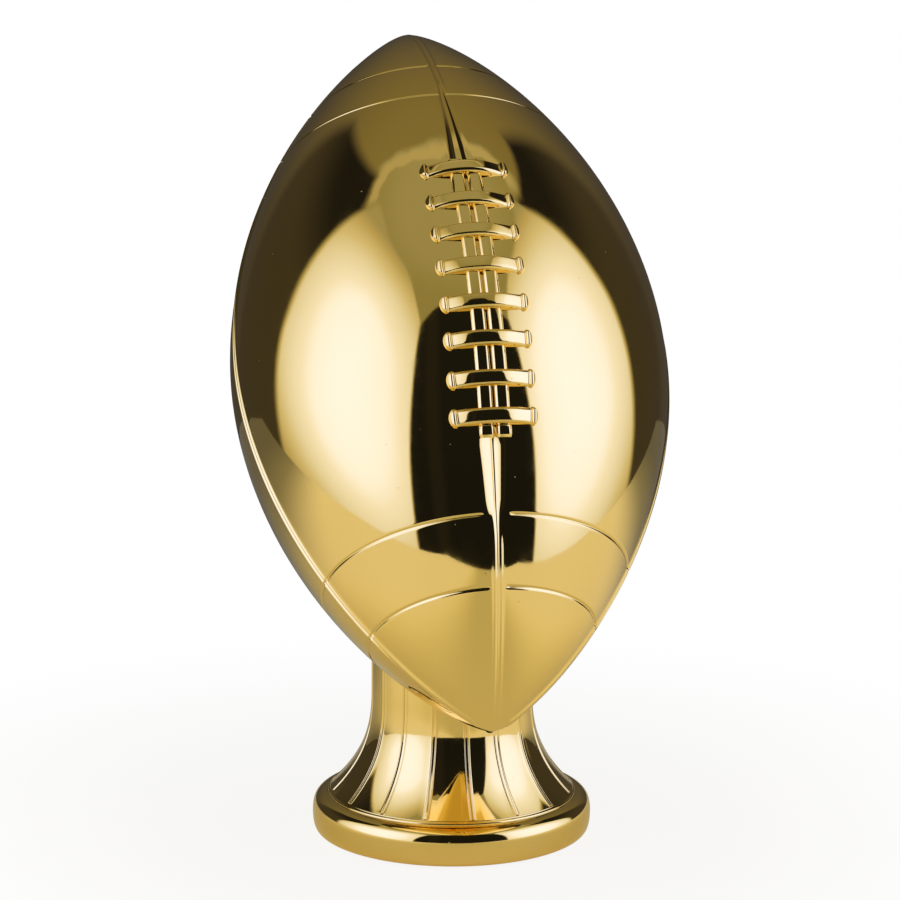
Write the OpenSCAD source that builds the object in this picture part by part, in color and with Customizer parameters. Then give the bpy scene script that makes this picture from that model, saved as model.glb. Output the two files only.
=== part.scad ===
// Gold football trophy: a laced American football leaning back on a fluted pedestal with a round foot.
// Millimetres. The origin is the centre of the face that it rests on, +Z is up and the laces face -Y.
// "Station" below is a distance along the ball's own axis from its middle, positive towards the upper tip.

/* [Ball] */
// Length from tip to tip
ball_length = 296; // [290:1:300]
// Largest diameter
ball_diameter = 164; // [160:1:168]
// Wall of the two shells
shell_wall = 3; // [2.5:0.5:4]
// Angle that the ball leans back from upright
lean_angle = 41; // [38:1:44]
// Height of the ball's middle above the table
ball_middle_height = 175.8; // [174:0.1:178]
// How far the ball's middle stands behind the pedestal's axis
ball_middle_setback = 10; // [6:0.5:14]

/* [Seams] */
// Angle round the ball from the laces to each side seam
side_seam_angle = 84; // [80:1:90]
// Width of one welt beside a side or rear seam
welt_width = 1.6; // [1:0.1:2.5]
// Width of the groove between two welts
seam_gap = 0.8; // [0.5:0.1:1.5]
// Depth of the valley of the front seam, where it is widest
valley_depth = 2; // [1:0.1:2.2]
// Height of a welt above the ball
welt_height = 0.9; // [0.5:0.1:1.2]
// Station of the inner stripe, as a share of half the length
inner_stripe_share = 0.595; // [0.55:0.005:0.62]
// Station of the outer stripe, as a share of half the length
outer_stripe_share = 0.74; // [0.7:0.005:0.78]
// Depth of a stripe's groove
stripe_depth = 0.6; // [0.3:0.1:1]

/* [Lacing] */
// Length of a cross lace round the ball
bar_length = 33.5; // [30:0.5:36]
// Width of one long lace
strand_width = 5.5; // [4.8:0.1:5.8]
// Gap between the two long laces
strand_gap = 1; // [0.8:0.1:1.6]
// Height of a long lace above the ball
strand_height = 1.3; // [1:0.1:1.4]
// Width of a loose lace end
tail_width = 5.6; // [5:0.1:6]

/* [Pedestal] */
// Radius of the neck under the ball
neck_radius = 30.5; // [29:0.5:32]
// Radius at the foot of the flare
flare_radius = 46; // [45.5:0.5:47]
// Height at which the flare starts
flare_bottom = 17; // [17:0.5:18]
// Height at which the flare has become the neck
flare_top = 56; // [52:1:58]
// Wall of the pedestal
pedestal_wall = 3.5; // [3:0.5:4.5]
// Number of flutes round the pedestal
flute_count = 16; // [12:2:20]
// Width of a flute
flute_width = 1.3; // [0.8:0.1:2]
// Depth of a flute
flute_depth = 0.8; // [0.4:0.1:1.2]

/* [Foot] */
// Largest radius of the foot
foot_radius = 52.8; // [52:0.1:54]
// Height of the foot
foot_height = 17; // [17:0.5:18]
// Thickness of the felt pad
felt_thickness = 1.6; // [1:0.1:2]
// How far the felt stands below the foot's rim
felt_proud = 0.6; // [0.3:0.1:0.8]
// Radius of the felt pad
felt_radius = 46; // [44:0.5:47]
// Outer radius of the ballast ring
ballast_radius = 43; // [40:0.5:43.5]

/* [Fixings] */
// Radius of the threaded tie rod
rod_radius = 3; // [2.5:0.5:4]
// Radius of the threaded insert in the ball
insert_radius = 6; // [5.5:0.5:7]
// Radius of the boss that holds the insert
boss_radius = 10; // [9:0.5:12]
// Height of the boss's upper end above the table
boss_top = 101; // [98:1:106]

/* [Hidden] */
$fn = 72;
curve_fn = 24;
join = 0.5;                  // how far two shapes of one piece reach into each other

half_length = ball_length / 2;
max_radius = ball_diameter / 2;
profile_power = 1.937;       // how full the ball is at its middle
profile_root = 0.816;        // how blunt its tips are
profile_steps = 36;
tip_thickening = 1.4;        // the wall is this much thicker at the tips
welt_reach = 0.965;          // share of half the length at which the welts end
welt_root = 1.5;             // depth to which a welt is rooted in the wall
welt_steps = 22;
welt_clearance = 0.5;        // how far short of the pedestal the rear welts stop
valley_half_widths = [[-143, 1.2], [-110, 2.2], [-87, 3.6], [-62, 5.5], [50, 4], [86, 1.8], [143, 1]];
valley_rise = 0.6;           // how far the valley's cutter stands out of the ball
valley_steps = 12;

bar_stations = [46.3, 31, 16.5, 2, -13, -27.2, -41.7, -55];
bar_count = len(bar_stations);
bar_width = 6.2;             // along the ball
bar_height = 3.6;            // above the ball
bar_arch = strand_height + 0.1;
bar_edge = 1.3;              // rounding of a cross lace's upper edges
bar_end_swell = 0.4;         // how much fuller its ends are
strand_top = 50;
strand_bottom = -57.5;
tail_bottom = -61.8;
lacing_top = strand_top + 0.6;
lacing_bottom = tail_bottom - 0.4;

lip_thickness = 1.4;
lip_width = 3.5;
lip_clearance = 0.3;
lip_reach = 0.75;

flare_power = 2.6;
flare_steps = 12;
flute_end = flare_bottom + 1.2;
neck_top = 100;

web_bottom = 12.5;
rim_bottom = felt_proud;
foot_corner = 2.4;
foot_shoulder = 6.5;
collar_height = 1.5;
collar_lip = 0.1;
cavity_radius = ballast_radius + 0.4;
ballast_bore = 14;
ballast_thickness = 10;
spigot_radius = 38.5;
spigot_wall = 3;
spigot_height = 3;

rod_bottom = 3.4;
rod_top = 96;
rod_hole_radius = rod_radius + 0.4;
insert_length = 16;
boss_root = 1;
washer_radius = 7.5;
washer_thickness = 1.6;
lock_washer_radius = 5.4;
lock_washer_thickness = 1.4;
lock_washer_gap = 1.2;
nut_flats = 10;
nut_thickness = 5;

gold = [0.83, 0.66, 0.25];
pale_gold = [0.93, 0.8, 0.42];
deep_gold = [0.7, 0.53, 0.18];

// ---- the ball's profile ----

// Radius of a ball of half length a and largest radius b, at station s
function spindle_radius(s, a, b) = b * pow(1 - pow(min(1, abs(s) / a), profile_power), profile_root);

// Radius of the ball at station s
function ball_radius(s) = spindle_radius(s, half_length, max_radius);

// Slope of the ball's profile at station s
function ball_slope(s) = (ball_radius(s + 0.01) - ball_radius(s - 0.01)) / 0.02;

// Direction of the ball's outward normal at station s, as an angle in the profile's plane
function normal_angle(s) = atan2(-ball_slope(s), 1);

// Point at height h above the ball's surface at station s, as [radius, station]
function ball_point(s, h) = [
    ball_radius(s) + h * cos(normal_angle(s)),
    s + h * sin(normal_angle(s))
];

// Half outline of a spindle, from tip to tip
function spindle_outline(a, b) = [
    for (i = [0:profile_steps])
        let (s = a * sin(-90 + 180 * i / profile_steps))
        [spindle_radius(s, a, b), s]
];

// Strip of the ball's skin between two stations and two heights above the surface
function skin_outline(s_low, s_high, h_low, h_high, steps) = concat(
    [for (i = [0:steps]) ball_point(s_low + (s_high - s_low) * i / steps, h_high)],
    [for (i = [steps:-1:0]) ball_point(s_low + (s_high - s_low) * i / steps, h_low)]
);

// Points of a circular arc
function arc(x, y, r, from, to, steps) = [
    for (i = [0:steps])
        let (a = from + (to - from) * i / steps)
        [x + r * cos(a), y + r * sin(a)]
];

// ---- placing ----

// Puts its children in the ball's own frame: Z along the ball, laces towards -Y
module in_ball_frame() {
    translate([0, ball_middle_setback, ball_middle_height])
        rotate([-lean_angle, 0, 0])
            children();
}

// Turns a profile round the ball through an arc centred the given angle from the laces
module sweep_round_ball(centre_angle, sweep_angle) {
    rotate([0, 0, -90 + centre_angle - sweep_angle / 2])
        rotate_extrude(angle = sweep_angle)
            children();
}

// A profile as a flat plate of the given width, standing the given angle from the laces
module plate_on_ball(angle, offset, width) {
    rotate([0, 0, -90 + angle])
        translate([0, offset, 0])
            rotate([90, 0, 0])
                linear_extrude(width, center = true)
                    children();
}

// ---- the ball ----

module ball_wall_profile() {
    difference() {
        polygon(spindle_outline(half_length, max_radius));
        polygon(spindle_outline(half_length - tip_thickening * shell_wall, max_radius - shell_wall));
        for (side = [-1, 1], share = [inner_stripe_share, outer_stripe_share])
            translate(ball_point(side * share * half_length, 0))
                circle(r = stripe_depth, $fn = curve_fn);
    }
}

module solid_ball() {
    in_ball_frame()
        rotate_extrude()
            polygon(spindle_outline(half_length, max_radius));
}

module welt(angle, offset, width, s_low, s_high) {
    plate_on_ball(angle, offset, width)
        polygon(skin_outline(s_low, s_high, -welt_root, welt_height, welt_steps));
}

// Half width of the front seam's valley at station s
function valley_half_width(s) = lookup(s, valley_half_widths);

// Depth of the front seam's valley at station s
function valley_bottom(s) = -valley_depth * valley_half_width(s) / max([for (w = valley_half_widths) w[1]]);

// Point in the ball's frame at station s, height h and the given distance round the ball from the laces
function seam_point(s, h, distance) =
    let (p = ball_point(s, h), angle = distance / ball_radius(s) * 180 / PI)
    [p[0] * sin(angle), -p[0] * cos(angle), p[1]];

// V-shaped cutter of the front seam between two stations: both panels slope into the seam
module valley_cutter(s_low, s_high) {
    stations = [for (i = [0:valley_steps]) s_low + (s_high - s_low) * i / valley_steps];
    points = [
        for (s = stations)
            let (w = valley_half_width(s) * (1 - valley_rise / valley_bottom(s)))
            each [seam_point(s, valley_rise, -w), seam_point(s, valley_bottom(s), 0), seam_point(s, valley_rise, w)]
    ];
    last = 3 * valley_steps;
    polyhedron(points, concat(
        [[0, 2, 1], [last, last + 1, last + 2]],
        [for (i = [0:valley_steps - 1], j = [0:2])
            let (a = 3 * i + j, b = 3 * i + (j + 1) % 3)
            each [[a, b + 3, a + 3], [a, b, b + 3]]]
    ));
}

module front_seam_valley() {
    tip = welt_reach * half_length;
    valley_cutter(-tip, lacing_bottom);
    valley_cutter(lacing_top, tip);
}

// One side welt, on the front shell (+1) or the rear shell (-1) of the seam at the given angle
module side_welt(angle, towards_front) {
    tip = welt_reach * half_length;
    inward = angle > 0 ? -1 : 1;
    welt(angle, inward * towards_front * (seam_gap + welt_width) / 2, welt_width, -tip, tip);
}

// Lip inside the rear shell's edge that the front shell seats over
module register_lip(angle) {
    reach = lip_reach * half_length;
    rearward = angle > 0 ? 1 : -1;
    bottom = -shell_wall - lip_thickness;
    plate_on_ball(angle, rearward * (lip_width / 2 + join), lip_width)
        polygon(skin_outline(-reach, reach, bottom, -shell_wall + join, welt_steps));
    plate_on_ball(angle, 0, 2 * lip_width)
        polygon(skin_outline(-reach, reach, bottom, -shell_wall - lip_clearance, welt_steps));
}

module front_shell() {
    color(gold)
        in_ball_frame() {
            difference() {
                sweep_round_ball(0, 2 * side_seam_angle)
                    ball_wall_profile();
                front_seam_valley();
            }
            side_welt(side_seam_angle, 1);
            side_welt(-side_seam_angle, 1);
        }
}

module rear_shell_skin() {
    in_ball_frame() {
        sweep_round_ball(180, 360 - 2 * side_seam_angle)
            ball_wall_profile();
        side_welt(side_seam_angle, -1);
        side_welt(-side_seam_angle, -1);
        register_lip(side_seam_angle);
        register_lip(-side_seam_angle);
    }
}

// The two welts of the seam opposite the laces, which stop at the pedestal
module rear_seam_welts() {
    tip = welt_reach * half_length;
    difference() {
        in_ball_frame()
            for (side = [-1, 1])
                welt(180, side * (seam_gap + welt_width) / 2, welt_width, -tip, tip);
        cylinder(r = neck_radius + welt_clearance, h = ball_middle_height);
    }
}

// Boss inside the rear shell, over the pedestal, rooted in the wall
module insert_boss() {
    intersection() {
        cylinder(r = boss_radius, h = boss_top);
        in_ball_frame()
            rotate_extrude()
                polygon(spindle_outline(half_length - boss_root, max_radius - boss_root));
    }
}

module rear_shell() {
    color(gold)
        difference() {
            union() {
                rear_shell_skin();
                rear_seam_welts();
                insert_boss();
            }
            translate([0, 0, boss_top - insert_length])
                cylinder(r = insert_radius, h = insert_length + 1);
            cylinder(r = rod_hole_radius, h = boss_top);
        }
}

// ---- the lacing ----

// Half a rounded cross section of the given height and half width, as [height, distance]
function rounded_section(low, high, half_width) = concat(
    [[low, half_width]],
    arc(high - bar_edge, half_width - bar_edge, bar_edge, 90, 0, 4)
);

// The strap of a cross lace, bridging the long laces
module bar_strap(s, sweep_angle) {
    half = rounded_section(bar_arch, bar_height, bar_width / 2);
    sweep_round_ball(0, sweep_angle)
        translate([ball_radius(s), s])
            rotate(normal_angle(s))
                polygon(concat(
                    half,
                    [for (i = [len(half) - 1:-1:0]) [half[i][0], -half[i][1]]]
                ));
}

// Rounded end of a cross lace, standing on the ball and turned about its normal
module bar_end(s, angle) {
    half = rounded_section(0, bar_height + bar_end_swell, bar_width / 2 + bar_end_swell);
    rotate([0, 0, -90 + angle])
        translate([ball_radius(s), 0, s])
            rotate([0, 90 - normal_angle(s), 0])
                rotate_extrude($fn = 48)
                    polygon(concat(
                        [[0, 0]],
                        [for (p = half) [p[1], p[0]]],
                        [[0, bar_height + bar_end_swell]]
                    ));
}

module lace_bar(i) {
    s = bar_stations[i - 1];
    end_distance = bar_length / 2 - bar_width / 2 - bar_end_swell;
    end_angle = end_distance / ball_radius(s) * 180 / PI;
    color(pale_gold)
        in_ball_frame() {
            bar_strap(s, 2 * end_angle);
            bar_end(s, end_angle);
            bar_end(s, -end_angle);
        }
}

module long_lace(side, width, s_low, s_high) {
    color(gold)
        in_ball_frame()
            plate_on_ball(0, side * (strand_gap + width) / 2, width)
                polygon(skin_outline(s_low, s_high, 0, strand_height, welt_steps));
}

module lace_strand(side) {
    long_lace(side, strand_width, strand_bottom, strand_top);
}

module lace_tail(side) {
    long_lace(side, tail_width, tail_bottom, strand_bottom);
}

// ---- the pedestal ----

// Radius of the pedestal at height z
function pedestal_radius(z) =
    neck_radius + (flare_radius - neck_radius)
    * pow(max(0, 1 - (z - flare_bottom) / (flare_top - flare_bottom)), flare_power);

// Outline of the pedestal from the flare's foot to the neck's top, moved in by the given depth
function pedestal_outline(z_low, depth) = concat(
    [for (i = [0:flare_steps])
        let (z = z_low + (flare_top - z_low) * i / flare_steps)
        [pedestal_radius(z) - depth, z]],
    [[neck_radius - depth, neck_top]]
);

module pedestal_profile() {
    inside = pedestal_outline(flare_bottom, pedestal_wall);
    polygon(concat(
        pedestal_outline(flare_bottom, 0),
        [for (i = [len(inside) - 1:-1:0]) inside[i]]
    ));
}

module flute() {
    rotate([90, 0, 0])
        linear_extrude(flute_width, center = true)
            polygon(concat(
                pedestal_outline(flute_end, flute_depth),
                [[flare_radius + 1, neck_top], [flare_radius + 1, flute_end]]
            ));
}

module pedestal() {
    color(gold)
        difference() {
            rotate_extrude()
                pedestal_profile();
            for (i = [0:flute_count - 1])
                rotate([0, 0, -90 + 360 * i / flute_count])
                    flute();
            solid_ball();
        }
}

// ---- the foot ----

module foot_profile() {
    top = foot_height;
    shoulder_top = top - collar_height;
    difference() {
        polygon(concat(
            [[0, rim_bottom]],
            arc(foot_radius - foot_corner, rim_bottom + foot_corner, foot_corner, -90, 0, 5),
            arc(foot_radius - foot_shoulder, shoulder_top - foot_shoulder, foot_shoulder, 0, 80, 8),
            [[flare_radius + collar_lip, shoulder_top], [flare_radius + collar_lip, top], [0, top]]
        ));
        square([felt_radius + 0.3, felt_thickness]);
        square([cavity_radius, web_bottom]);
        square([rod_hole_radius, top + 1]);
    }
    translate([spigot_radius - spigot_wall, top - join])
        square([spigot_wall, spigot_height + join]);
}

module foot() {
    color(deep_gold)
        rotate_extrude()
            foot_profile();
}

module felt_pad() {
    color([0.08, 0.14, 0.1])
        cylinder(r = felt_radius, h = felt_thickness);
}

module ring(inner, outer, z_low, thickness) {
    translate([0, 0, z_low])
        rotate_extrude()
            translate([inner, 0])
                square([outer - inner, thickness]);
}

module ballast() {
    color([0.25, 0.25, 0.27])
        ring(ballast_bore, ballast_radius, web_bottom - ballast_thickness, ballast_thickness);
}

// ---- the fixings ----

module ball_insert() {
    color([0.8, 0.62, 0.3])
        ring(rod_radius, insert_radius, boss_top - insert_length, insert_length);
}

module tie_rod() {
    chamfer = 0.6;
    color([0.7, 0.7, 0.72])
        rotate_extrude()
            polygon([
                [0, rod_bottom],
                [rod_radius - chamfer, rod_bottom],
                [rod_radius, rod_bottom + chamfer],
                [rod_radius, rod_top - chamfer],
                [rod_radius - chamfer, rod_top],
                [0, rod_top]
            ]);
}

module tie_washer() {
    color([0.75, 0.75, 0.77])
        ring(rod_radius + 0.2, washer_radius, web_bottom - washer_thickness, washer_thickness);
}

// Split spring washer
module lock_washer() {
    z_low = web_bottom - washer_thickness - lock_washer_thickness;
    color([0.55, 0.55, 0.58])
        difference() {
            ring(rod_radius + 0.2, lock_washer_radius, z_low, lock_washer_thickness);
            translate([0, -lock_washer_gap / 2, z_low - 1])
                cube([washer_radius, lock_washer_gap, lock_washer_thickness + 2]);
        }
}

module tie_nut() {
    z_low = web_bottom - washer_thickness - lock_washer_thickness - nut_thickness;
    color([0.75, 0.75, 0.77])
        translate([0, 0, z_low])
            difference() {
                cylinder(d = nut_flats / cos(30), h = nut_thickness, $fn = 6);
                translate([0, 0, -1])
                    cylinder(r = rod_radius, h = nut_thickness + 2);
            }
}

front_shell();
rear_shell();
for (i = [1:bar_count])
    lace_bar(i);
lace_strand(-1);  // lace_strand_left
lace_strand(1);  // lace_strand_right
lace_tail(-1);  // lace_tail_left
lace_tail(1);  // lace_tail_right
pedestal();
foot();
felt_pad();
ballast();
ball_insert();
tie_rod();
tie_washer();
lock_washer();
tie_nut();
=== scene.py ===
import math

import bpy
import numpy as np
from mathutils import Matrix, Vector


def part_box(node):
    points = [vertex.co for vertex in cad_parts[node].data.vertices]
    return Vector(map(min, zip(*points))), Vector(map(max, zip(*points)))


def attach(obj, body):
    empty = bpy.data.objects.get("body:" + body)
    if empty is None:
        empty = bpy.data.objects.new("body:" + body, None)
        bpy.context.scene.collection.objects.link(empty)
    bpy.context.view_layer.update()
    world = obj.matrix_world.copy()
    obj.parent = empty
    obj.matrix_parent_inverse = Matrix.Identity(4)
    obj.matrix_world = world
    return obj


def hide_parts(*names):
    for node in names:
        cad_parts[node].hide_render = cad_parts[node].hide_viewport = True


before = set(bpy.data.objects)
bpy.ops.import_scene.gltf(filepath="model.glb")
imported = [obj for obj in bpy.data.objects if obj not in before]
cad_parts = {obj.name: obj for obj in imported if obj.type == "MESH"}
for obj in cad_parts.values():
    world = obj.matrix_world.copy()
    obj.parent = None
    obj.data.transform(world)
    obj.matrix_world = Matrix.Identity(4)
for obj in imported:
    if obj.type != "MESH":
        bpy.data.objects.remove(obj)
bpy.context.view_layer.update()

# Looks of a mirror-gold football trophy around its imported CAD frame.
# Design sizes are in millimetres and become metres where a mesh is made. The ball has its own frame:
# "station" runs along its axis from the middle, positive towards the upper tip, and "angle" runs round
# it from the laces, positive towards +X.

MM = 0.001
RNG = np.random.default_rng(7)

# ---- the ball's frame ----

LEAN = math.radians(41)
ALONG = np.array([0, math.sin(LEAN), math.cos(LEAN)])
FRONT = np.array([0, -math.cos(LEAN), math.sin(LEAN)])
RIGHT = np.array([1.0, 0, 0])
HALF_LENGTH = 148.0
BALL_RADIUS = 82.0
PROFILE_POWER = 1.937
PROFILE_ROOT = 0.816
SHELL_WALL = 3.0
TIP_WALL = 1.4 * SHELL_WALL


def box_mm(node):
    low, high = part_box(node)
    return np.array(low) / MM, np.array(high) / MM


def ball_middle():
    """The spindle is symmetric about its middle, so its box is centred on it."""
    lows, highs = zip(*(box_mm(n) for n in ("front_shell", "rear_shell")))
    return (np.min(lows, axis=0) + np.max(highs, axis=0)) / 2


BALL_MIDDLE = ball_middle()


def ball_radius(s, half_length=HALF_LENGTH, radius=BALL_RADIUS):
    t = np.minimum(np.abs(s) / half_length, 1)
    return radius * np.maximum(1 - t ** PROFILE_POWER, 0) ** PROFILE_ROOT


def normal_angle(s):
    """Tilt of the ball's outward normal towards the upper tip, in radians."""
    step = 0.01
    inner = np.clip(s, step - HALF_LENGTH, HALF_LENGTH - step)
    slope = (ball_radius(inner + step) - ball_radius(inner - step)) / (2 * step)
    return np.arctan2(-slope, 1)


def from_axis(angle):
    """Directions square to the ball's axis, at angles from the laces."""
    return np.cos(angle)[..., None] * FRONT + np.sin(angle)[..., None] * RIGHT


def on_ball(s, angle, height=0.0):
    """Points at a height above the ball's surface, in millimetres."""
    tilt = normal_angle(s)
    out = ball_radius(s) + height * np.cos(tilt)
    up = s + height * np.sin(tilt)
    return BALL_MIDDLE + up[..., None] * ALONG + out[..., None] * from_axis(angle)


def stations_of(node):
    """Lowest and highest station of a CAD node."""
    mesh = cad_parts[node].data
    points = np.array([v.co for v in mesh.vertices]) / MM - BALL_MIDDLE
    along = points @ ALONG
    return along.min(), along.max()


# ---- mesh helpers ----

def make_object(name, points, faces):
    mesh = bpy.data.meshes.new(name)
    mesh.from_pydata([tuple(p) for p in points * MM], [], faces)
    mesh.validate()
    mesh.polygons.foreach_set("use_smooth", [True] * len(mesh.polygons))
    obj = bpy.data.objects.new(name, mesh)
    bpy.context.scene.collection.objects.link(obj)
    return obj


def both_sides(half):
    """Offsets to either side of a middle at 0, from those on one side."""
    half = np.asarray(half, float)
    return np.concatenate([-half[:0:-1], half])


def closed_section(half, low):
    """A closed cross section from the points of its right half, with a point below its middle."""
    return half + [(0.0, low)] + [(-y, h) for y, h in half[:0:-1]]


def around_axis(radius, angle, z):
    """Points at a radius and an angle about the pedestal's axis."""
    radius, angle, z = np.broadcast_arrays(radius, angle, z)
    return np.stack([radius * np.cos(angle), radius * np.sin(angle), z], -1)


def grid_faces(rows, columns, wrap_rows=False, wrap_columns=False, start=0):
    faces = []
    for i in range(rows if wrap_rows else rows - 1):
        a = start + i * columns
        b = start + ((i + 1) % rows) * columns
        for j in range(columns if wrap_columns else columns - 1):
            k = (j + 1) % columns
            faces.append((a + j, a + k, b + k, b + j))
    return faces


def loft(name, rings):
    """A closed solid through a row of rings, with a flat cap at each end."""
    rings = np.asarray(rings)
    count, size = rings.shape[:2]
    faces = grid_faces(count, size, wrap_columns=True)
    faces.append(tuple(range(size - 1, -1, -1)))
    faces.append(tuple(range((count - 1) * size, count * size)))
    return make_object(name, rings.reshape(-1, 3), faces)


def sharpen(obj, degrees):
    obj.data.set_sharp_from_angle(angle=math.radians(degrees))


def finish_piece(obj, slot, material, *nodes):
    obj.data.materials.append(material)
    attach(obj, "root")
    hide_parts(*nodes)


def smoothstep(x, low, high):
    t = np.clip((x - low) / (high - low), 0, 1)
    return t * t * (3 - 2 * t)


def spline(points, per_span):
    """Catmull-Rom curve through the points."""
    p = np.asarray(points, float)
    p = np.vstack([2 * p[0] - p[1], p, 2 * p[-1] - p[-2]])
    curve = []
    for i in range(1, len(p) - 2):
        for k in range(per_span):
            t = k / per_span
            curve.append(0.5 * (
                2 * p[i]
                + (p[i + 1] - p[i - 1]) * t
                + (2 * p[i - 1] - 5 * p[i] + 4 * p[i + 1] - p[i + 2]) * t ** 2
                + (3 * p[i] - p[i - 1] - 3 * p[i + 1] + p[i + 2]) * t ** 3
            ))
    curve.append(p[-2])
    return np.array(curve)


# ---- materials ----

def new_material(name):
    material = bpy.data.materials.new(name)
    material.use_nodes = True
    nodes = material.node_tree.nodes
    return material, nodes, material.node_tree.links, nodes["Principled BSDF"]


def noise(nodes, links, scale, detail=2.0, source=None):
    """A 3-D noise in object space, with its scale in cells per metre."""
    texture = nodes.new("ShaderNodeTexNoise")
    texture.inputs["Scale"].default_value = scale
    texture.inputs["Detail"].default_value = detail
    if source is None:
        source = nodes.new("ShaderNodeTexCoord").outputs["Object"]
    links.new(source, texture.inputs["Vector"])
    return texture.outputs["Fac"]


def map_range(nodes, links, value, from_low, from_high, to_low, to_high, smooth=False):
    node = nodes.new("ShaderNodeMapRange")
    if smooth:
        node.interpolation_type = "SMOOTHSTEP"
    node.inputs["From Min"].default_value = from_low
    node.inputs["From Max"].default_value = from_high
    node.inputs["To Min"].default_value = to_low
    node.inputs["To Max"].default_value = to_high
    links.new(value, node.inputs["Value"])
    return node.outputs["Result"]


def bump(nodes, links, height, distance, normal=None):
    node = nodes.new("ShaderNodeBump")
    node.inputs["Strength"].default_value = 1.0
    node.inputs["Distance"].default_value = distance
    links.new(height, node.inputs["Height"])
    if normal is not None:
        links.new(normal, node.inputs["Normal"])
    return node.outputs["Normal"]


def mix_colour(nodes, links, factor, first, second):
    node = nodes.new("ShaderNodeMix")
    node.data_type = "RGBA"
    links.new(factor, node.inputs["Factor"])
    node.inputs[6].default_value = (*first, 1)
    node.inputs[7].default_value = (*second, 1)
    return node.outputs[2]


class Nodes:
    """Short names for the arithmetic of a shader."""

    def __init__(self, tree):
        self.tree = tree
        self.links = tree.links

    def feed(self, socket, value):
        """Set a number on a socket, or link another node's output to it."""
        if isinstance(value, (int, float)):
            socket.default_value = value
        else:
            self.links.new(value, socket)

    def math(self, operation, first, second=None):
        node = self.tree.nodes.new("ShaderNodeMath")
        node.operation = operation
        self.feed(node.inputs[0], first)
        if second is not None:
            self.feed(node.inputs[1], second)
        return node.outputs[0]

    def split(self, vector):
        node = self.tree.nodes.new("ShaderNodeSeparateXYZ")
        self.links.new(vector, node.inputs[0])
        return node.outputs

    def step(self, value, low, high):
        return map_range(self.tree.nodes, self.links, value, low, high, 0, 1, True)

    def fall(self, value, low, high):
        return map_range(self.tree.nodes, self.links, value, low, high, 1, 0, True)

    def mix(self, factor, first, second):
        node = self.tree.nodes.new("ShaderNodeMix")
        node.data_type = "FLOAT"
        for socket, value in ((0, factor), (2, first), (3, second)):
            self.feed(node.inputs[socket], value)
        return node.outputs[0]


def gold_material():
    """Bright gold electroplate: a mirror with a faint unevenness, fine haze and a little dust."""
    material, nodes, links, shader = new_material("gold_plate_look")
    cloud = noise(nodes, links, 22, 3)
    tint = mix_colour(nodes, links, cloud, (0.93, 0.66, 0.19), (0.96, 0.7, 0.215))
    haze = map_range(nodes, links, noise(nodes, links, 160, 4), 0.35, 0.75, 0.035, 0.075)
    specks = nodes.new("ShaderNodeTexVoronoi")
    specks.inputs["Scale"].default_value = 130
    links.new(nodes.new("ShaderNodeTexCoord").outputs["Object"], specks.inputs["Vector"])
    dust = map_range(nodes, links, specks.outputs["Distance"], 0.025, 0.05, 0.35, 0)
    rough = nodes.new("ShaderNodeMath")
    rough.operation = "ADD"
    links.new(haze, rough.inputs[0])
    links.new(dust, rough.inputs[1])
    wave = bump(nodes, links, noise(nodes, links, 30, 1), 0.00006)
    peel = bump(nodes, links, noise(nodes, links, 700, 2), 0.0000012, wave)
    links.new(tint, shader.inputs["Base Color"])
    links.new(rough.outputs[0], shader.inputs["Roughness"])
    links.new(peel, shader.inputs["Normal"])
    shader.inputs["Metallic"].default_value = 1.0
    return material


def metal_material(name, dark, light, roughness, grain, depth):
    """A turned or cast metal with grain-scale colour, roughness and bump."""
    material, nodes, links, shader = new_material(name)
    cloud = noise(nodes, links, grain, 5)
    links.new(mix_colour(nodes, links, cloud, dark, light), shader.inputs["Base Color"])
    rough = map_range(nodes, links, cloud, 0.3, 0.7, roughness * 0.7, roughness * 1.3)
    links.new(rough, shader.inputs["Roughness"])
    links.new(bump(nodes, links, cloud, depth), shader.inputs["Normal"])
    shader.inputs["Metallic"].default_value = 1.0
    return material


def felt_material():
    """Dark green wool felt with matted fibres."""
    material, nodes, links, shader = new_material("felt_look")
    fibres = noise(nodes, links, 2600, 8)
    matting = noise(nodes, links, 180, 4)
    green = mix_colour(nodes, links, fibres, (0.012, 0.035, 0.02), (0.05, 0.1, 0.06))
    mats = bump(nodes, links, matting, 0.0002)
    links.new(green, shader.inputs["Base Color"])
    links.new(bump(nodes, links, fibres, 0.0003, mats), shader.inputs["Normal"])
    shader.inputs["Roughness"].default_value = 0.95
    shader.inputs["Sheen Weight"].default_value = 0.4
    return material


GOLD = gold_material()

# ---- the ball ----

SIDE_SEAM = math.radians(84)
REAR_SEAM = math.pi
STRIPES = [-109.5, -87.3, 89.3, 109.8]
STRIPE_DEPTH = 0.38
STRIPE_SPREAD = 0.4
# Where the lower and the upper half of the ball is slimmer than this, its seams narrow
SEAM_FULL_RADIUS = [6.0, 22.0]
LACING_BOTTOM = stations_of("lace_tail_left")[0]
LACING_TOP = stations_of("lace_bar_1")[1]
# Reach of the front seam's rolled edges on either side, where they are widest
VALLEY_WIDTH = 5.9
# Tilt of the rolled edges in degrees at distances from the seam in valley widths
LOWER_VALLEY = ([0, 0.05, 0.1, 0.41, 1.0, 1.15, 1.35], [0, 20, 36, 26, 14, 6, 0])
UPPER_VALLEY = ([0, 0.2, 0.28, 0.5, 0.8, 1.0, 1.2], [0, 0, 37, 31, 20, 6, 0])
# The valley's width at stations along the ball, as a share of its full width
VALLEY_SCALE_STATIONS = [-148, -143, -130, -110, -87, -62, 52, 70, 86, 110, 143, 148]
VALLEY_SCALE = [0.3, 0.32, 0.36, 0.42, 0.66, 1.0, 0.75, 0.5, 0.36, 0.3, 0.3, 0.3]
# Over these stations the valley becomes the two ribs of a plain seam, at the lower and the upper end
LOWER_RIBS = [-98, -82]
UPPER_RIBS = [86, 98]
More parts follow.
